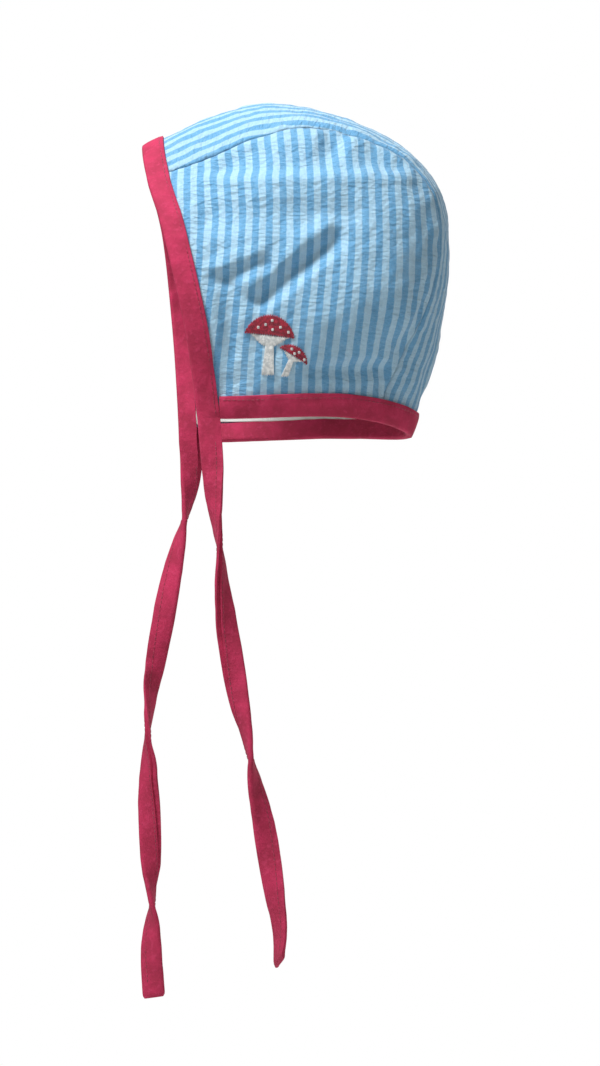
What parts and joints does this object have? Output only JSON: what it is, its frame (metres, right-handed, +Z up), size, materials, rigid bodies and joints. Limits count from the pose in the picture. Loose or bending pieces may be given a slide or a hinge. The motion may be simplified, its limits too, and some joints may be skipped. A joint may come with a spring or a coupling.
{
  "type": "baby bonnet",
  "caption": "Soft tie-on baby bonnet of striped cotton with side panels, a centre panel, a plain lining, folded bindings round face and neck, and hanging ties.",
  "frame": {"origin": "the point where the top of the wearer's head touches the lining at the crown", "axes": "+Z up, -X towards the face opening, +X towards the nape, -Y towards the wearer's left"},
  "size_m": [0.1727, 0.1279, 0.4963],
  "materials": {
    "striped_cotton": "crinkled woven cotton in blue and pale blue stripes",
    "lining_cotton": "plain off-white woven cotton",
    "raspberry_binding": "matt raspberry cotton tape, folded and topstitched"
  },
  "bodies": {
    "root": {"left_panel": "striped_cotton", "right_panel": "striped_cotton", "centre_panel": "striped_cotton", "lining": "lining_cotton", "face_binding": "raspberry_binding", "neck_binding": "raspberry_binding", "left_tie": "raspberry_binding", "right_tie": "raspberry_binding"}
  },
  "joints": []
}
